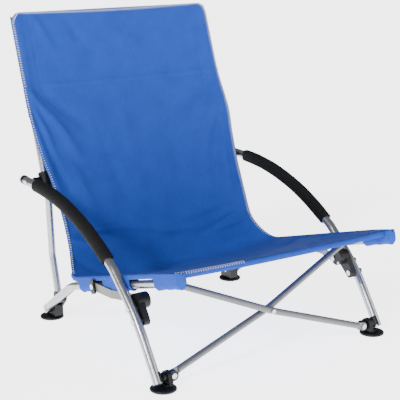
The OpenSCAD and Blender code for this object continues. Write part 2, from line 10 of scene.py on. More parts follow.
import bpy
import numpy as np
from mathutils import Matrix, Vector


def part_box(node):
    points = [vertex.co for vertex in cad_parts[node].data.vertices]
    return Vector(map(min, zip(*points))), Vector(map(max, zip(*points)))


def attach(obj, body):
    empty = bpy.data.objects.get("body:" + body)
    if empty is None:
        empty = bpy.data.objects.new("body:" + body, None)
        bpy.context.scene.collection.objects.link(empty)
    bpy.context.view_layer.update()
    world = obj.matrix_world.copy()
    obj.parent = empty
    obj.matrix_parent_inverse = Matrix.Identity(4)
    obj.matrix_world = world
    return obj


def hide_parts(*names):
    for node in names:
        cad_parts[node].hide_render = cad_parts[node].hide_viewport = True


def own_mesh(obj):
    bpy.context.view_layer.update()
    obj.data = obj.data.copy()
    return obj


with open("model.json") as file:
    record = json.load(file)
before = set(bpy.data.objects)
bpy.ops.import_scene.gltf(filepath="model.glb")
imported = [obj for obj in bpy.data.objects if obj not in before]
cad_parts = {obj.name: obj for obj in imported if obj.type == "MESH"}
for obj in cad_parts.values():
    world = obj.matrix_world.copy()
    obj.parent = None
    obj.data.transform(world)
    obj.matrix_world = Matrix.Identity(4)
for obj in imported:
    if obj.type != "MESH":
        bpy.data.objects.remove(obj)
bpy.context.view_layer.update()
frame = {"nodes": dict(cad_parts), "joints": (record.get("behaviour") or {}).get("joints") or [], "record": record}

MM = 0.001
joints = {j["name"]: j for j in frame["joints"]}


# ---------- what the frame says ----------

def side_point(joint_name):
    """A joint's place in the side view."""
    return np.array(joints[joint_name]["pos_m"][1:])


def middle(node):
    low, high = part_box(node)
    return (low + high) / 2


UPRIGHT_X = joints["upright_tilt_r"]["pos_m"][0]
RAIL_X = joints["rail_heel_r"]["pos_m"][0]
SLEEVE_END = side_point("lower_back_hang")
BACK_UP = np.array(joints["slider_travel_l"]["axis"][1:])
BACK_FRONT = np.array([-BACK_UP[1], BACK_UP[0]])
SCISSOR = side_point("leg_scissor_r")
RAIL_CAP = np.array(middle("rail_cap_r")[1:])
RAIL_DIR = (RAIL_CAP - SCISSOR) / np.linalg.norm(RAIL_CAP - SCISSOR)
RAIL_UP = np.array([RAIL_DIR[1], -RAIL_DIR[0]])
UPRIGHT_R = 7.5 * MM
SHEET_TO_AXIS = 8.35 * MM
CLOTH_T = 1.0 * MM


def on_upright(up, forward):
    """Side-view point, measured up the upright's axis from the sleeve's end and out to its front."""
    return SLEEVE_END + BACK_UP * up + BACK_FRONT * (forward - SHEET_TO_AXIS)


def on_rail(along, up):
    """Side-view point, measured along the rail's axis from the scissor pivot and up from it."""
    return SCISSOR + RAIL_DIR * along + RAIL_UP * up


SEAT_REAR = (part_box("seat_cloth")[1].y - SCISSOR[0]) / RAIL_DIR[0]
SEAT_FRONT = (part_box("seat_cloth")[0].y - SCISSOR[0]) / RAIL_DIR[0] - 5 * MM
HEM_RISE = 13 * MM
TOP = (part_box("head_cloth")[1].z - SLEEVE_END[1]) / BACK_UP[1] - 2 * MM + HEM_RISE
SEAM = (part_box("head_cloth")[0].z - SLEEVE_END[1]) / BACK_UP[1]
HANG_FOOT = on_rail(SEAT_REAR, 21 * MM)
HANG = (HANG_FOOT - SLEEVE_END) / np.linalg.norm(HANG_FOOT - SLEEVE_END)
HANG_FRONT = np.array([HANG[1], -HANG[0]])


def on_hang(down, forward):
    """Side-view point, measured down the free panel's line from the sleeve's end and out to its front."""
    return SLEEVE_END + HANG * down + HANG_FRONT * forward


# ---------- the sling's surface ----------

RIDGE = 19 * MM
# Rows of the sling: (edge point, half width there, middle point)
ROWS = [
    (on_upright(TOP, 7 * MM), 247 * MM, on_upright(TOP, 4 * MM)),
    (on_upright(SEAM, 8 * MM), 247.5 * MM, on_upright(SEAM, 1 * MM)),
    (on_upright(25 * MM, 12 * MM), 250 * MM, on_upright(25 * MM, 2 * MM)),
    (on_hang(32 * MM, 8 * MM), 250.5 * MM, on_hang(32 * MM, -6 * MM)),
    (on_hang(74 * MM, 1 * MM), 246 * MM, on_hang(74 * MM, -9 * MM)),
    (on_hang(142 * MM, 0), 236 * MM, on_hang(142 * MM, -13 * MM)),
    (on_hang(222 * MM, -3 * MM), 232 * MM, on_hang(222 * MM, -19 * MM)),
    (on_hang(282 * MM, -10 * MM), 232 * MM, on_hang(290 * MM, -26 * MM)),
    (on_hang(316 * MM, -4 * MM), 241 * MM, on_hang(330 * MM, -30 * MM)),
    (on_rail(SEAT_REAR + 14 * MM, RIDGE), 256 * MM, on_rail(SEAT_REAR - 20 * MM, 2 * MM)),
    (on_rail(SEAT_REAR + 60 * MM, RIDGE), 257.5 * MM, on_rail(SEAT_REAR + 40 * MM, -1 * MM)),
    (on_rail(SEAT_FRONT * 0.5, RIDGE), 258 * MM, on_rail(SEAT_FRONT * 0.45, 6 * MM)),
    (on_rail(SEAT_FRONT - 40 * MM, RIDGE), 257 * MM, on_rail(SEAT_FRONT - 40 * MM, 13 * MM)),
    (on_rail(SEAT_FRONT - 1 * MM, RIDGE - 2 * MM), 256 * MM, on_rail(SEAT_FRONT - 1 * MM, 14 * MM)),
]
SEAM_ROW, SLEEVE_ROW, CREASE_ROW = 1, 2, 9
STEP = 1 * MM
EDGE_EASE, MIDDLE_EASE = 16, 11


def smooth_rows():
    """The sling's edge and middle lines at every millimetre of the middle line, with rounded corners."""
    edge = np.array([[r[1], *r[0]] for r in ROWS])
    centre = np.array([[0, *r[2]] for r in ROWS])
    at = np.concatenate([[0], np.cumsum(np.linalg.norm(np.diff(centre, axis=0), axis=1))])
    s = np.arange(0, at[-1], STEP)

    def eased(points, sigma):
        dense = np.stack([np.interp(s, at, points[:, k]) for k in range(3)], 1)
        reach = 3 * sigma
        kernel = np.exp(-0.5 * (np.arange(-reach, reach + 1) / sigma) ** 2)
        kernel /= kernel.sum()
        first = 2 * dense[0] - dense[1:reach + 1][::-1]
        last = 2 * dense[-1] - dense[-reach - 1:-1][::-1]
        padded = np.concatenate([first, dense, last])
        return np.stack([np.convolve(padded[:, k], kernel, "valid") for k in range(3)], 1)

    return s, at, eased(edge, EDGE_EASE), eased(centre, MIDDLE_EASE)


S_LINE, S_ROWS, EDGE_LINE, MIDDLE_LINE = smooth_rows()
S_SEAM = S_ROWS[SEAM_ROW]
SLEEVE_ROW_UP = 25 * MM
S_SLEEVE = S_ROWS[SLEEVE_ROW] + SLEEVE_ROW_UP
S_CREASE = S_ROWS[CREASE_ROW]
S_END = S_LINE[-1]
CORNER_R = 24 * MM
INNER_SEAM = 40 * MM

# Creases of the cloth: start (x, s), end (x, s), half width and height before FOLD_GAIN, all in
# millimetres, on both sides
FOLD_GAIN = 2.6
FOLDS = [
    ((-238, 172), (-150, 330), 11, 2.6),
    ((-246, 196), (-205, 330), 8, 2.2),
    ((-232, 160), (-110, 250), 14, -2.2),
    ((-240, 215), (-185, 420), 9, -2.0),
    ((-236, 250), (-222, 430), 7, 1.8),
    ((-170, 330), (-150, 480), 15, 1.5),
    ((-90, 250), (-70, 470), 18, -1.3),
    ((-30, 180), (-15, 460), 20, 1.1),
    ((-200, 10), (-150, 95), 12, 1.6),
    ((-120, 20), (-60, 100), 16, -1.3),
    ((-20, 30), (60, 100), 20, 1.0),
    ((-195, 470), (-60, 492), 8, 2.0),
    ((-215, 487), (-90, 512), 7, -2.4),
    ((-235, 500), (-140, 540), 8, 2.4),
    ((-90, 492), (40, 500), 9, 1.6),
    ((-240, 545), (-120, 600), 12, -2.2),
    ((-245, 610), (-150, 690), 13, 2.0),
    ((-250, 700), (-170, 800), 12, -1.8),
    ((-245, 820), (-120, 880), 12, 1.6),
    ((-120, 560), (-60, 760), 22, -1.8),
    ((-40, 600), (30, 820), 24, 1.4),
]


def folds(x, s):
    """Height of the cloth's creases at pattern point x, s."""
    total = np.zeros(np.broadcast(x, s).shape)
    for k, (a, b, half, high) in enumerate(FOLDS):
        for side in (1, -1):
            a0 = np.array([a[0] * side, a[1] + 9 * (side < 0)]) * MM
            b0 = np.array([b[0] * side * (1 - 0.12 * (side < 0)), b[1] + 14 * (side < 0) * (-1) ** k]) * MM
            run = b0 - a0
            length = np.linalg.norm(run)
            run /= length
            along = (x - a0[0]) * run[0] + (s - a0[1]) * run[1]
            off = (x - a0[0]) * -run[1] + (s - a0[1]) * run[0] + 6 * MM * np.sin(along / length * 3 + k)
            t = np.clip(along / length, 0, 1)
            fade = np.sin(np.pi * np.clip((along / length + 0.15) / 1.3, 0, 1)) ** 1.5
            size = 0.75 if side < 0 else 1.0
            total += size * high * MM * fade * np.exp(-(off / (half * MM * (0.6 + 0.8 * t))) ** 2)
    wave = np.sin(x * 61 + 3 * np.sin(s * 17)) * np.sin(s * 23 + 2 * np.sin(x * 13) + 1)
    fine = np.sin(x * 190 + 4 * np.sin(s * 40)) * np.sin(s * 70 + 3 * np.sin(x * 55))
    return FOLD_GAIN * total + 1.2 * MM * wave + 0.12 * MM * fine


def sling(u, s, lift=0.0, creased=True):
    """Point of the sling at u across and row s, lifted along the surface's front."""
    u, s = np.broadcast_arrays(np.asarray(u, float), np.asarray(s, float))
    edge = np.stack([np.interp(s, S_LINE, EDGE_LINE[:, k]) for k in range(3)], -1)
    centre = np.stack([np.interp(s, S_LINE, MIDDLE_LINE[:, k]) for k in range(3)], -1)
    ahead = np.stack([np.interp(s + 4 * MM, S_LINE, MIDDLE_LINE[:, k]) for k in range(3)], -1)
    behind = np.stack([np.interp(s - 4 * MM, S_LINE, MIDDLE_LINE[:, k]) for k in range(3)], -1)
    run = ahead - behind
    run /= np.linalg.norm(run, axis=-1, keepdims=True) + 1e-12
    out = np.stack([np.zeros_like(s), run[..., 2], -run[..., 1]], -1)
    half = edge[..., 0] - np.where(s < CORNER_R, CORNER_R - np.sqrt(np.clip(
        CORNER_R ** 2 - (CORNER_R - np.clip(s, 0, CORNER_R)) ** 2, 0, None)), 0)
    on_seat = np.clip((s - S_CREASE) / (60 * MM), 0, 1)
    power = 2.0 + 0.9 * on_seat
    share = np.abs(u) ** power
    x = half * u
    p = np.stack([x, centre[..., 1] + (edge[..., 1] - centre[..., 1]) * share,
                  centre[..., 2] + (edge[..., 2] - centre[..., 2]) * share], -1)
    from_edge = np.abs(np.abs(x) - UPRIGHT_X)
    sleeved = np.clip((S_SLEEVE - s) / (40 * MM), 0, 1)
    bulge = 3.6 * MM * np.exp(-(from_edge / (9.5 * MM)) ** 2) * sleeved
    inner = np.abs(np.abs(x) - (UPRIGHT_X + 13 * MM - INNER_SEAM))
    groove = -1.1 * MM * np.exp(-(inner / (2.4 * MM)) ** 2) * sleeved
    seam = (-1.5 * MM * np.exp(-((s - S_SEAM - 2 * MM) / (1.6 * MM)) ** 2)
            + 1.2 * MM * np.exp(-((s - S_SEAM + 4 * MM) / (5 * MM)) ** 2))
    calm = np.clip((1 - np.abs(u)) / 0.035, 0, 1) * np.clip((S_END - s) / (16 * MM), 0, 1) * np.clip(
        s / (14 * MM), 0, 1)
    creases = folds(x, s) * calm if creased else 0
    return p + out * (bulge + groove + seam + creases + lift)[..., None]


# ---------- mesh helpers ----------

def new_piece(name, points, faces, material, smooth=True):
    mesh = bpy.data.meshes.new(name)
    mesh.from_pydata([tuple(p) for p in np.asarray(points).reshape(-1, 3)], [], faces)
    mesh.materials.append(material)
    mesh.polygons.foreach_set("use_smooth", [smooth] * len(mesh.polygons))
    mesh.validate()
    mesh.update()
    piece = bpy.data.objects.new(name, mesh)
    bpy.context.scene.collection.objects.link(piece)
    return piece


def grid_faces(rows, cols, start=0, loop=False):
    """Quads of a grid of points; loop closes each row on itself."""
    wide = cols if loop else cols - 1
    return [(start + i * cols + j, start + i * cols + (j + 1) % cols,
             start + (i + 1) * cols + (j + 1) % cols, start + (i + 1) * cols + j)
            for i in range(rows - 1) for j in range(wide)]


def add_uv(piece, uv):
    """Pattern coordinates in metres, so that the weave runs with the cloth."""
    layer = piece.data.uv_layers.new(name="pattern")
    index = np.zeros(len(piece.data.loops), int)
    piece.data.loops.foreach_get("vertex_index", index)
    layer.data.foreach_set("uv", np.asarray(uv).reshape(-1, 2)[index].ravel())


def thicken(piece, thickness, offset=0.0, rim=False):
    solid = piece.modifiers.new("thickness", "SOLIDIFY")
    solid.thickness = thickness
    solid.offset = offset
    solid.use_even_offset = False
    solid.use_rim = rim
    return piece


def cloth_grid(name, u, s, material, lift=0.0):
    """A stretch of the sling over the columns u and rows s."""
    uu, ss = np.meshgrid(u, s)
    piece = new_piece(name, sling(uu, ss, lift), grid_faces(len(s), len(u)), material)
    half = np.interp(ss, S_LINE, EDGE_LINE[:, 0])
    add_uv(piece, np.stack([uu * half, ss], -1))
    return thicken(piece, CLOTH_T)


def sweep(name, path, side, up, section, material, closed=True, ends=True):
    """A section of (side, up) points carried along a path, with its ends filled."""
    path, section = np.asarray(path), np.asarray(section)
    points = path[:, None] + section[None, :, :1] * side[:, None] + section[None, :, 1:] * up[:, None]
    rows, cols = points.shape[:2]
    faces = grid_faces(rows, cols, loop=closed)
    if closed and ends:
        faces += [tuple(range(cols))[::-1], tuple((rows - 1) * cols + k for k in range(cols))]
    return new_piece(name, points, faces, material)


def tubes(name, lines, radius, material, sides=6):
    """Many thin threads in one piece; each line is (points, 3)."""
    verts, faces = [], []
    for line in lines:
        line = np.asarray(line)
        run = np.gradient(line, axis=0)
        run /= np.linalg.norm(run, axis=1, keepdims=True) + 1e-12
        a = np.cross(run, [0.31, 0.87, 0.39])
        a /= np.linalg.norm(a, axis=1, keepdims=True) + 1e-12
        b = np.cross(run, a)
        turn = np.arange(sides) / sides * 2 * np.pi
        ring = radius * (np.cos(turn)[None, :, None] * a[:, None] + np.sin(turn)[None, :, None] * b[:, None])
        ring[0] *= 0.4
        ring[-1] *= 0.4
        start = sum(len(v) for v in verts)
        verts.append((line[:, None] + ring).reshape(-1, 3))
        faces += grid_faces(len(line), sides, start, loop=True)
        faces += [tuple(range(start, start + sides))[::-1],
                  tuple(start + (len(line) - 1) * sides + k for k in range(sides))]
    return new_piece(name, np.concatenate(verts), faces, material)


def unit(v):
    return v / (np.linalg.norm(v, axis=-1, keepdims=True) + 1e-12)


# ---------- materials ----------

def material(name):
    made = bpy.data.materials.new(name)
    made.use_nodes = True
    tree = made.node_tree
    return made, tree, tree.nodes["Principled BSDF"]


def add(tree, kind, **values):
    node = tree.nodes.new(kind)
    for key, value in values.items():
        if key in node.inputs:
            node.inputs[key].default_value = value
        else:
            setattr(node, key, value)
    return node


def place(tree, uv=None):
    """Where the texture reads its place: the pattern in metres, or the piece's own frame."""
    if uv:
        return add(tree, "ShaderNodeUVMap", uv_map=uv).outputs["UV"]
    return add(tree, "ShaderNodeTexCoord").outputs["Object"]


def noise(tree, where, scale, detail=3.0, rough=0.55):
    node = add(tree, "ShaderNodeTexNoise", Scale=scale, Detail=detail, Roughness=rough)
    tree.links.new(where, node.inputs["Vector"])
    return node.outputs["Fac"]


def ramp(tree, fac, stops):
    node = add(tree, "ShaderNodeValToRGB")
    tree.links.new(fac, node.inputs["Fac"])
    while len(node.color_ramp.elements) < len(stops):
        node.color_ramp.elements.new(0.5)
    for element, (at, colour) in zip(node.color_ramp.elements, stops):
        element.position = at
        element.color = (*colour, 1) if len(colour) == 3 else colour
    return node.outputs["Color"]


def bump(tree, shader, height, strength, distance, under=None):
    node = add(tree, "ShaderNodeBump", Strength=strength, Distance=distance)
    tree.links.new(height, node.inputs["Height"])
    if under:
        tree.links.new(under, node.inputs["Normal"])
    tree.links.new(node.outputs["Normal"], shader.inputs["Normal"])
    return node.outputs["Normal"]


def tint(colour, share):
    return tuple(min(1.0, c * share) for c in colour)


def canvas(name, colour, rough=0.85, sheen=0.03):
    """Plain-weave polyester canvas: crossing threads, slubs and a faint worn bloom."""
    made, tree, shader = material(name)
    where = place(tree, "pattern")
    warp = add(tree, "ShaderNodeTexWave", Scale=1 / (0.9 * MM) / 6.28, bands_direction="X")
    weft = add(tree, "ShaderNodeTexWave", Scale=1 / (0.9 * MM) / 6.28, bands_direction="Y")
    for wave in (warp, weft):
        wave.inputs["Distortion"].default_value = 0.6
        wave.inputs["Detail"].default_value = 1.0
        tree.links.new(where, wave.inputs["Vector"])
    threads = add(tree, "ShaderNodeMath", operation="MULTIPLY")
    tree.links.new(warp.outputs["Fac"], threads.inputs[0])
    tree.links.new(weft.outputs["Fac"], threads.inputs[1])
    stretch = add(tree, "ShaderNodeMapping")
    stretch.inputs["Scale"].default_value = (420, 60, 1)
    tree.links.new(where, stretch.inputs["Vector"])
    slub = noise(tree, stretch.outputs["Vector"], 1.0, 4.0, 0.6)
    patch = noise(tree, where, 22.0, 5.0, 0.6)
    both = add(tree, "ShaderNodeMath", operation="ADD")
    tree.links.new(slub, both.inputs[0])
    tree.links.new(patch, both.inputs[1])
    half = add(tree, "ShaderNodeMath", operation="MULTIPLY")
    tree.links.new(both.outputs[0], half.inputs[0])
    half.inputs[1].default_value = 0.5
    stops = [(0.30, tint(colour, 0.84)), (0.5, colour), (0.72, tint(colour, 1.16))]
    colour_out = ramp(tree, half.outputs[0], stops)
    weave = add(tree, "ShaderNodeMix", data_type="RGBA", blend_type="MULTIPLY")
    weave.inputs["Factor"].default_value = 0.22
    tree.links.new(colour_out, weave.inputs["A"])
    gaps = ramp(tree, threads.outputs[0], [(0.0, (0.55, 0.55, 0.55)), (0.6, (1, 1, 1))])
    tree.links.new(gaps, weave.inputs["B"])
    tree.links.new(weave.outputs["Result"], shader.inputs["Base Color"])
    shader.inputs["Roughness"].default_value = rough
    shader.inputs["Sheen Weight"].default_value = sheen
    shader.inputs["Sheen Roughness"].default_value = 0.45
    shader.inputs["Sheen Tint"].default_value = (0.55, 0.7, 1.0, 1)
    shader.inputs["Specular IOR Level"].default_value = 0.15
    under = bump(tree, shader, threads.outputs[0], 0.35, 0.25 * MM)
    bump(tree, shader, slub, 0.25, 0.3 * MM, under)
    return made


def plastic(name, colour, rough=0.42, grain=900.0):
    """Moulded nylon or rubber: fine spark grain and lighter rubbed patches."""
    made, tree, shader = material(name)
    where = place(tree)
    fine = noise(tree, where, grain, 2.0)
    rub = noise(tree, where, 45.0, 6.0, 0.7)
    tree.links.new(ramp(tree, rub, [(0.35, tint(colour, 0.75)), (0.6, colour), (0.8, tint(colour, 1.9))]),
                   shader.inputs["Base Color"])
    tree.links.new(ramp(tree, rub, [(0.3, (rough - 0.07,) * 3), (0.75, (rough + 0.12,) * 3)]),
                   shader.inputs["Roughness"])
    shader.inputs["Specular IOR Level"].default_value = 0.25
    bump(tree, shader, fine, 0.25, 0.15 * MM)
    return made


def coated_metal(name, colour, metal=0.75, rough=0.34):
    """Silver powder coat on steel tube: metallic flake, orange peel and faint scuffs."""
    made, tree, shader = material(name)
    where = place(tree)
    flake = noise(tree, where, 1600.0, 2.0)
    peel = noise(tree, where, 260.0, 2.0)
    scuff = noise(tree, where, 38.0, 7.0, 0.72)
    tree.links.new(ramp(tree, flake, [(0.3, tint(colour, 0.92)), (0.7, tint(colour, 1.08))]),
                   shader.inputs["Base Color"])
    tree.links.new(ramp(tree, scuff, [(0.3, (rough - 0.06,) * 3), (0.7, (rough + 0.10,) * 3)]),
                   shader.inputs["Roughness"])
    shader.inputs["Metallic"].default_value = metal
    bump(tree, shader, peel, 0.02, 0.2 * MM)
    return made


def foam(name, colour):
    """Closed-cell foam: pores and the fine ribs left by the extruder."""
    made, tree, shader = material(name)
    where = place(tree)
    pores = add(tree, "ShaderNodeTexVoronoi", Scale=700.0)
    tree.links.new(where, pores.inputs["Vector"])
    mottled = noise(tree, where, 120.0, 5.0, 0.65)
    tree.links.new(ramp(tree, mottled, [(0.3, tint(colour, 0.8)), (0.7, tint(colour, 1.3))]),
                   shader.inputs["Base Color"])
    shader.inputs["Roughness"].default_value = 0.9
    shader.inputs["Specular IOR Level"].default_value = 0.15
    under = bump(tree, shader, pores.outputs["Distance"], 0.5, 0.4 * MM)
    bump(tree, shader, mottled, 0.3, 0.8 * MM, under)
    return made


CANVAS = canvas("canvas_blue", (0.015, 0.058, 0.340))
BINDING = canvas("binding_blue", (0.050, 0.095, 0.330), rough=0.75)
SILVER = coated_metal("silver_coat", (0.36, 0.365, 0.38), metal=0.92, rough=0.27)
GREY = coated_metal("grey_coat", (0.14, 0.14, 0.14), metal=0.6, rough=0.40)
ZINC = coated_metal("zinc_flat", (0.17, 0.17, 0.165), metal=0.6, rough=0.45)
BRIGHT = coated_metal("rivet_bright", (0.50, 0.50, 0.51), metal=1.0, rough=0.25)
NYLON = plastic("black_nylon", (0.0045, 0.0045, 0.0050))
PAD = plastic("black_rubber", (0.004, 0.004, 0.0045), rough=0.5)
FOAM = foam("black_foam", (0.0075, 0.0075, 0.0080))


def thread_material():
    """White polyester thread with a fine twist."""
    made, tree, shader = material("white_thread")
    twist = noise(tree, place(tree), 2400.0, 2.0)
    tree.links.new(ramp(tree, twist, [(0.3, (0.78, 0.80, 0.86)), (0.7, (0.92, 0.93, 0.95))]),
                   shader.inputs["Base Color"])
    shader.inputs["Roughness"].default_value = 0.75
    bump(tree, shader, twist, 0.3, 0.1 * MM)
    return made


THREAD = thread_material()
SLOT_MATERIAL = {"silver_tube": SILVER, "grey_tube": GREY, "link_steel": ZINC, "rivet_steel": BRIGHT,
                 "black_nylon": NYLON, "pad_rubber": PAD, "grip_foam": FOAM, "blue_canvas": CANVAS}


def dress_cad():
    """Gives each CAD node its slot's material."""
    for part in frame["record"]["subparts"]:
        node = frame["nodes"][part["node"]]
        node.data.materials.clear()
        node.data.materials.append(SLOT_MATERIAL[part["material_slot"]])


# ---------- the cloth pieces ----------

BACK_SQUASH = {"axis": (1, 0, 0), "anchor": (-UPRIGHT_X, 0, 0), "keep": 1 - 0.370 / (2 * UPRIGHT_X)}
SEAT_SQUASH = {"axis": (1, 0, 0), "anchor": (-RAIL_X, 0, 0), "keep": 1 - 0.370 / (2 * RAIL_X)}


def settle(piece, body, squash=None):
    """The piece moves with the body; given a squash, it gets its own copy of its mesh."""
    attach(piece, body)
    if squash:
        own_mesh(piece)
    return piece


def columns(low, high, pitch=3.5 * MM, half=250 * MM):
    return np.linspace(low, high, int((high - low) * half / pitch) + 1)


def row_line(low, high, pitch=3.5 * MM):
    return np.linspace(low, high, int((high - low) / pitch) + 2)


def edge_frame(u, s, inset=6 * MM):
    """Edge points of the sling with the direction into the cloth and its front, along a line of (u, s)."""
    at = sling(u, s, creased=False)
    half = np.interp(s, S_LINE, EDGE_LINE[:, 0])
    inner_u, inner_s = np.array(u) * (1 - inset / half), np.array(s, float)
    top = inner_s < CORNER_R
    inner_s = np.where(top, inner_s + inset * (1 - inner_s / CORNER_R), inner_s)
    inward = unit(sling(inner_u, inner_s, creased=False) - at)
    along = unit(np.gradient(at, axis=0))
    front = unit(np.cross(inward, along))
    flip = np.sign(-front[:, 1] + front[:, 2])
    return at, inward, front * flip[:, None], along


def whip(at, inward, front, along, pitch, reach, lean=0.9 * MM):
    """Short bars of thread on both faces of an edge, one every pitch."""
    length = np.concatenate([[0], np.cumsum(np.linalg.norm(np.diff(at, axis=0), axis=1))])
    lines = []
    for d in np.arange(pitch / 2, length[-1], pitch):
        p, i, f, a = [np.array([np.interp(d, length, v[:, k]) for k in range(3)])
                      for v in (at, inward, front, along)]
        shape = [(reach, 0.9, 1.0), (reach * 0.66, 1.5, 0.6), (reach * 0.35, 1.5, 0.1),
                 (reach * 0.2, 0.9, -0.1)]
        for face in (1, -1):
            lines.append([p + i * x + f * y * face * MM + a * z * lean for x, y, z in shape])
    return lines


BIND_SECTION = [(-1.0, 0.5), (0.2, 1.15), (3.5, 1.25), (6.6, 0.95), (6.9, 0.6),
                (6.9, -0.6), (6.6, -0.95), (3.5, -1.25), (0.2, -1.15), (-1.0, -0.5)]


def bind_edge(name, u, s, body, squash, pitch=5.2 * MM, wide=1.0):
    """Bound edge along a line of (u, s), with its whip stitches."""
    at, inward, front, along = edge_frame(u, s)
    section = np.array(BIND_SECTION) * MM * [wide, 1]
    tape = sweep(name + "_binding", at, inward, front, section, BINDING)
    around = np.concatenate([[0], np.cumsum(np.linalg.norm(np.diff(at, axis=0), axis=1))])
    across = np.cumsum(np.concatenate([[0], np.linalg.norm(np.diff(section, axis=0), axis=1)]))
    add_uv(tape, np.stack(np.meshgrid(across, around), -1))
    bars = whip(at, inward, front, along, pitch, 5.4 * MM * wide)
    thread = tubes(name + "_stitches", bars, 0.55 * MM, THREAD)
    for piece in (tape, thread):
        settle(piece, body, squash)
    return [tape, thread]


def side_edges(name, low, high, body, squash):
    made = []
    for side, tag in ((-1, "l"), (1, "r")):
        s = row_line(low, high, 4 * MM)
        made += bind_edge(f"{name}_{tag}", np.full(len(s), float(side)), s, body, squash)
    return made


def top_hem(body, squash):
    """Folded hem along the top, round both corners and down to the seam."""
    down = row_line(CORNER_R, S_SEAM, 4 * MM)
    turn = np.linspace(0, np.pi / 2, 9)
    corner_s = CORNER_R * (1 - np.sin(turn))
    flat = 1 - CORNER_R / EDGE_LINE[0, 0]
    top_u = np.linspace(flat, -flat, 120)
    u = np.concatenate([np.ones(len(down) - 1), np.ones(9), top_u[1:-1],
                        -np.ones(9), -np.ones(len(down) - 1)])
    s = np.concatenate([down[:0:-1], corner_s, np.zeros(118), corner_s[::-1], down[1:]])
    return bind_edge("head", u, s, body, squash, wide=1.15)


def head_panel():
    panel = cloth_grid("head_panel", columns(-1, 1), row_line(0.4 * MM, S_SEAM), CANVAS)
    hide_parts("head_cloth")
    settle(panel, "upright_l", BACK_SQUASH)
    trim = top_hem("upright_l", BACK_SQUASH)


def upper_panel():
    panel = cloth_grid("upper_back_panel", columns(-1, 1), row_line(S_SEAM, S_SLEEVE), CANVAS)
    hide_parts("upper_back_cloth")
    settle(panel, "upright_l", BACK_SQUASH)
    trim = side_edges("upper_back", S_SEAM, S_SLEEVE, "upright_l", BACK_SQUASH)


def lower_panel():
    panel = cloth_grid("lower_back_panel", columns(-1, 1), row_line(S_SLEEVE, S_CREASE), CANVAS)
    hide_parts("lower_back_cloth")
    settle(panel, "lower_back", BACK_SQUASH)
    trim = side_edges("lower_back", S_SLEEVE, S_CREASE, "lower_back", BACK_SQUASH)


LOOPS = [(52, 98), (150, 252), (338, 418.5)]
KNEE_TO_SCISSOR = 117.4
SHUT = 4.5 * MM


def rail_loop(name, side, low, high, closed_front, body):
    """U of cloth from the seat's ridge down round the rail, a little slack underneath."""
    out, inn, slack = 9.9 * MM, -9.9 * MM, 10.8 * MM
    turn = np.linspace(0, np.pi, 15)
    section = np.concatenate([[(out - 0.6 * MM, 17.5 * MM), (out, 9 * MM)],
                              np.stack([np.cos(turn) * out, -np.sin(turn) * slack], 1),
                              [(inn, 9 * MM), (inn + 0.6 * MM, 16.5 * MM)]])
    rows = np.linspace(low, high, int((high - low) / (3 * MM)) + 2)
    points, uv = [], []
    for k, t in enumerate(rows):
        end = min(t - low, high - t)
        grow = 1 + 0.10 * np.exp(-end / (9 * MM)) * np.sin(k * 2.1)
        scale = np.array([1.0, grow])
        if closed_front and high - t < SHUT:
            shut = math.sqrt(max(0.0, 1 - (1 - (high - t) / SHUT) ** 2))
            scale = np.array([0.15 + 0.85 * shut, 0.15 + 0.85 * shut])
        for x, n in section:
            ripple = 0.5 * MM * math.sin(t * 210 + x * 160) * (n < 0)
            lifted = 17 * MM - (17 * MM - n) * scale[1]
            p = on_rail(t, lifted + ripple)
            points.append((side * (RAIL_X + x * scale[0]), *p))
            uv.append((x * 2 + n, t))
    piece = new_piece(name, points, grid_faces(len(rows), len(section)), CANVAS)
    add_uv(piece, uv)
    thicken(piece, CLOTH_T)
    return settle(piece, body)


def seat_panel():
    panel = cloth_grid("seat_panel", columns(-1, 1), row_line(S_CREASE, S_END), CANVAS)
    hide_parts("seat_cloth")
    settle(panel, "rail_l", SEAT_SQUASH)
    trim = front_hem()
    for side, tag in ((-1, "l"), (1, "r")):
        for k, (low, high) in enumerate(LOOPS):
            loop = rail_loop(f"seat_loop_{tag}{k + 1}", side, (low - KNEE_TO_SCISSOR) * MM,
                             (high - KNEE_TO_SCISSOR) * MM, k == 2, f"rail_{tag}")
            if k == 0:
                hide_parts(f"seat_loops_{tag}")
    trim += seat_side_rolls()


STITCHED_FRONT = 150 * MM


def front_hem():
    """The front edge rolled down over a fold, with stitches along its upper side."""
    u = np.linspace(-1, 1, 150)
    at = sling(u, np.full(150, S_END), creased=False)
    back = unit(at - sling(u, np.full(150, S_END - 5 * MM), creased=False))
    along = unit(np.gradient(at, axis=0))
    up = unit(np.cross(along, back))
    up *= np.sign(up[:, 2])[:, None]
    drop = [(-1.5, 0.9), (1.0, 0.9), (2.8, 0.0), (3.8, -2.2), (4.0, -6.0), (3.4, -10.0), (2.4, -10.2),
            (2.4, -6.0), (2.0, -3.0), (1.4, -1.4), (0.5, -0.9), (-1.5, -0.9)]
    roll = sweep("seat_front_hem", at, back, up, np.array(drop) * MM, CANVAS)
    add_uv(roll, np.stack(np.meshgrid(np.arange(len(drop)) * 2 * MM, u * 257 * MM), -1))
    lines = []
    length = np.concatenate([[0], np.cumsum(np.linalg.norm(np.diff(at, axis=0), axis=1))])
    for d in np.arange(3 * MM, STITCHED_FRONT, 5.2 * MM):
        p, b, w, a = [np.array([np.interp(d, length, v[:, k]) for k in range(3)])
                      for v in (at, back, up, along)]
        shape = [(-3.6, 0.9, 0.9), (-0.8, 1.7, 0.5), (1.6, 1.3, 0.1), (3.6, -0.4, -0.2), (4.5, -2.8, -0.7)]
        lines.append([p + b * x * MM + w * y * MM + a * z * MM for x, y, z in shape])
    thread = tubes("seat_front_stitches", lines, 0.45 * MM, THREAD)
    for piece in (roll, thread):
        settle(piece, "rail_l", SEAT_SQUASH)
    return [roll, thread]


CORNER_FLAP = 90 * MM


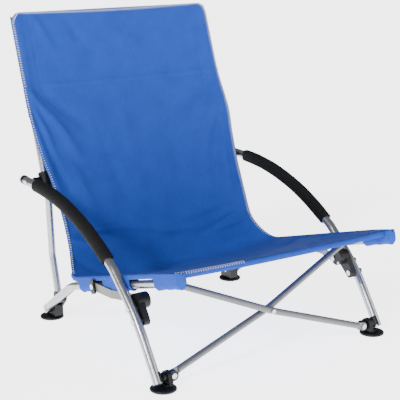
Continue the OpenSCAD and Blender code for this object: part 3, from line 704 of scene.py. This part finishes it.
def deepen(roll, cols, s):
    """The side roll hangs lower towards the seat's front corner."""
    share = np.clip((s - S_END + CORNER_FLAP) / CORNER_FLAP, 0, 1)
    for k, t in enumerate(share):
        drop = RAIL_UP * 11 * MM * t * t * (3 - 2 * t)
        for vertex in roll.data.vertices[k * cols + 3:k * cols + 7]:
            vertex.co.y -= drop[0]
            vertex.co.z -= drop[1]


def seat_side_rolls():
    """The seat's side edges, folded down over the outer side of each rail."""
    made = []
    for side, tag in ((-1, "l"), (1, "r")):
        s = row_line(S_CREASE - 6 * MM, S_END, 4 * MM)
        at = sling(np.full(len(s), float(side)), s, creased=False)
        along = unit(np.gradient(at, axis=0))
        out = np.tile([side, 0.0, 0.0], (len(s), 1))
        up = unit(np.cross(along, out))
        up *= np.sign(up[:, 2])[:, None]
        fold = [(-4, 0.7), (0.4, 0.9), (1.9, -0.4), (2.3, -3.5), (2.2, -8.5),
                (1.2, -8.5), (1.1, -3.5), (0.4, -1.1), (-4, -0.7)]
        roll = sweep(f"seat_side_roll_{tag}", at, out, up, np.array(fold) * MM, CANVAS)
        deepen(roll, len(fold), s)
        add_uv(roll, np.stack(np.meshgrid(np.arange(len(fold)) * 2 * MM, s), -1))
        made.append(settle(roll, "rail_l" if side < 0 else "rail_r"))
    return made


def sleeve_backs():
    """The strip of cloth that runs behind each upright, from the bound edge to the inner seam."""
    for side, tag in ((-1, "l"), (1, "r")):
        outer, inner = 246 * MM, 246 * MM - INNER_SEAM
        r = UPRIGHT_R + 1.2 * MM
        turn = np.linspace(-0.55, np.pi + 0.75, 19)
        arc = np.stack([UPRIGHT_X + r * np.cos(turn), -r * np.sin(turn)], 1)
        section = np.concatenate([[(outer, 7.5 * MM)], arc[2:-3],
                                  [(UPRIGHT_X - 14 * MM, 0.8 * MM), (inner, 4.8 * MM)]])
        ups = np.linspace(4 * MM, TOP - 5 * MM, 60)
        points, uv = [], []
        for k, up in enumerate(ups):
            for x, n in section:
                y, z = on_upright(up, n - 0.6 * MM + 0.4 * MM * math.sin(up * 150 + x * 300))
                points.append((side * x, y, z))
                uv.append((x, up))
        piece = new_piece(f"sleeve_back_{tag}", points, grid_faces(len(ups), len(section)), CANVAS)
        add_uv(piece, uv)
        thicken(piece, CLOTH_T)
        settle(piece, f"upright_{tag}")


def seam_stitches():
    """Rows of small stitches: across the head seam and down the inner sleeve seams."""
    lines = []
    pitch, stitch = 4.2 * MM, 2.8 * MM
    for x in np.arange(-225 * MM, 225 * MM, pitch):
        u = np.array([x, x + stitch / 2, x + stitch]) / (247 * MM)
        s = np.full(3, S_SEAM - 3.2 * MM)
        lines.append(sling(u, s, 0.75 * MM))
    piece = tubes("head_seam_stitches", lines, 0.32 * MM, THREAD_BLUE, 5)
    settle(piece, "upright_l", BACK_SQUASH)
    spans = ((14 * MM, S_SEAM - 5 * MM, "head"), (S_SEAM + 6 * MM, S_SLEEVE, "upper_back"))
    for low, high, name in spans:
        lines = []
        for side in (-1, 1):
            for s in np.arange(low, high, pitch):
                ss = np.array([s, s + stitch / 2, s + stitch])
                u = np.full(3, side * (246 * MM - INNER_SEAM)) / np.interp(ss, S_LINE, EDGE_LINE[:, 0])
                lines.append(sling(u, ss, 0.85 * MM))
        piece = tubes(f"{name}_sleeve_stitches", lines, 0.32 * MM, THREAD_BLUE, 5)
        settle(piece, "upright_l", BACK_SQUASH)


def blue_thread():
    made, tree, shader = material("blue_thread")
    twist = noise(tree, place(tree), 2400.0, 2.0)
    tree.links.new(ramp(tree, twist, [(0.3, (0.010, 0.040, 0.24)), (0.7, (0.020, 0.070, 0.36))]),
                   shader.inputs["Base Color"])
    shader.inputs["Roughness"].default_value = 0.6
    bump(tree, shader, twist, 0.3, 0.1 * MM)
    return made


THREAD_BLUE = blue_thread()


# ---------- foam grips ----------

def foam_grip(tag):
    """The grip's own shape with soft ends and a slightly uneven skin."""
    node = frame["nodes"][f"arm_grip_{tag}"]
    piece = bpy.data.objects.new(f"foam_grip_{tag}", node.data.copy())
    bpy.context.scene.collection.objects.link(piece)
    piece.data.materials.clear()
    piece.data.materials.append(FOAM)
    remesh = piece.modifiers.new("remesh", "REMESH")
    remesh.mode = "VOXEL"
    remesh.voxel_size = 0.9 * MM
    smooth = piece.modifiers.new("soften", "SMOOTH")
    smooth.factor = 0.5
    smooth.iterations = 6
    depsgraph = bpy.context.evaluated_depsgraph_get()
    mesh = bpy.data.meshes.new_from_object(piece.evaluated_get(depsgraph))
    piece.modifiers.clear()
    piece.data = mesh
    co = np.zeros(len(mesh.vertices) * 3)
    mesh.vertices.foreach_get("co", co)
    co = co.reshape(-1, 3)
    normal = np.array([v.normal for v in mesh.vertices])
    uneven = np.sin(co[:, 1] * 90 + 1) * np.sin(co[:, 2] * 70) + 0.5 * np.sin(co[:, 1] * 310 + co[:, 0] * 200)
    co += normal * (0.15 * MM * uneven)[:, None]
    mesh.vertices.foreach_set("co", co.ravel())
    mesh.polygons.foreach_set("use_smooth", [True] * len(mesh.polygons))
    mesh.update()
    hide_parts(f"arm_grip_{tag}")
    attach(piece, f"leg_{tag}")


# ---------- floor, light and camera ----------

def plain(name, colour, rough):
    made, tree, shader = material(name)
    shader.inputs["Base Color"].default_value = (*colour, 1)
    shader.inputs["Roughness"].default_value = rough
    return made


def add_floor():
    """A pale floor with a faint glow, so that it reads as a bright seamless backdrop."""
    size = 60.0
    white = plain("floor_white", (0.90, 0.90, 0.90), 0.9)
    glow = white.node_tree.nodes["Principled BSDF"].inputs
    glow["Emission Color"].default_value = (1, 1, 1, 1)
    glow["Emission Strength"].default_value = 3.6
    corners = [(-size, -size, 0), (size, -size, 0), (size, size, 0), (-size, size, 0)]
    floor = new_piece("floor", corners, [(0, 1, 2, 3)], white, False)


def area_light(name, at, aim, size, power):
    light = bpy.data.lights.new(name, "AREA")
    light.shape = "RECTANGLE"
    light.size, light.size_y = size
    light.energy = power
    lamp = bpy.data.objects.new(name, light)
    lamp.location = at
    lamp.rotation_euler = (Vector(aim) - Vector(at)).to_track_quat("-Z", "Y").to_euler()
    bpy.context.scene.collection.objects.link(lamp)


def sun(name, towards, strength, angle):
    light = bpy.data.lights.new(name, "SUN")
    light.energy = strength
    light.angle = math.radians(angle)
    lamp = bpy.data.objects.new(name, light)
    lamp.rotation_euler = Vector(towards).to_track_quat("-Z", "Y").to_euler()
    bpy.context.scene.collection.objects.link(lamp)


def add_light():
    world = bpy.data.worlds.new("studio")
    bpy.context.scene.world = world
    world.use_nodes = True
    background = world.node_tree.nodes["Background"]
    background.inputs["Color"].default_value = (0.90, 0.94, 1.0, 1)
    background.inputs["Strength"].default_value = 0.28
    sun("key", (1.0, 0.36, -0.62), 2.9, 10)
    sun("fill", (-0.55, 0.75, -0.45), 0.8, 35)
    area_light("front", (-1.9, -2.5, 1.2), (0, 0, 0.3), (0.8, 1.6), 26)
    area_light("side", (2.3, -1.2, 1.0), (0, 0, 0.3), (0.6, 1.6), 10)


def add_camera():
    """The photograph's viewpoint: 35 degrees to the left of the front and 14 degrees above the floor."""
    data = bpy.data.cameras.new("camera")
    data.lens, data.sensor_width = 105.6, 36.0
    camera = bpy.data.objects.new("camera", data)
    camera.location = (-1.3326, -1.9325, 0.8432)
    camera.rotation_euler = (math.radians(90 - 13.90), 0, math.radians(-34.90))
    bpy.context.scene.collection.objects.link(camera)
    bpy.context.scene.camera = camera


dress_cad()
head_panel()
upper_panel()
lower_panel()
seat_panel()
sleeve_backs()
seam_stitches()
for side in "lr":
    foam_grip(side)
add_floor()
add_light()
add_camera()
